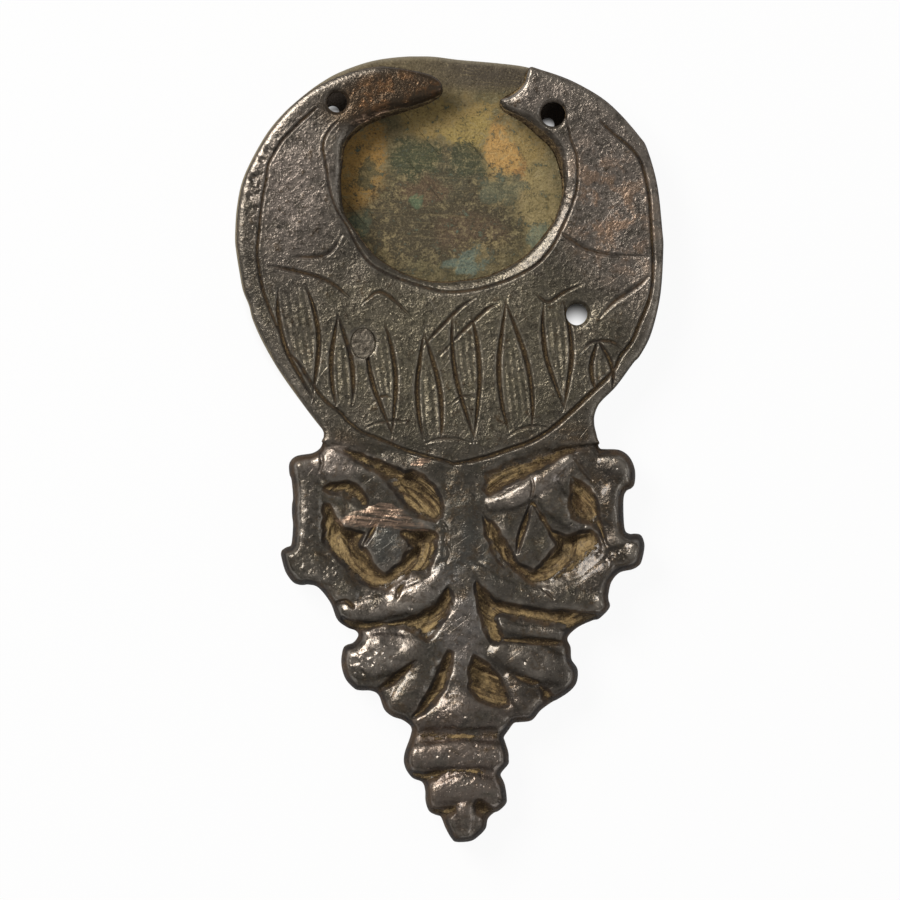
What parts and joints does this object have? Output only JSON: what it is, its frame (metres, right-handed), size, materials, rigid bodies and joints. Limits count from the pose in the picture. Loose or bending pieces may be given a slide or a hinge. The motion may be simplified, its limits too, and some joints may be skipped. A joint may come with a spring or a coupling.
{
  "type": "medieval strap end",
  "caption": "Riveted copper-alloy strap end: round openwork head that grips a strap between two plates, above a carved pointed leaf terminal.",
  "frame": {"origin": "centre of the bounding box on the plane of the flat back, so the part lies on its back at z = 0", "axes": "+Y from the leaf's tip to the strap's mouth, +Z from the back plate to the engraved front, +X to the right seen from the front"},
  "size_m": [0.0344, 0.0632, 0.0045],
  "materials": {
    "patinated_bronze": "dark worn patina, half glossy",
    "corroded_bronze": "olive and ochre corrosion, matte",
    "rivet_bronze": "dark peened end, half glossy"
  },
  "bodies": {
    "root": {"front_plate_with_terminal": "patinated_bronze", "forked_spacer": "corroded_bronze", "back_plate": "corroded_bronze", "assembly_rivet": "rivet_bronze"}
  },
  "joints": []
}
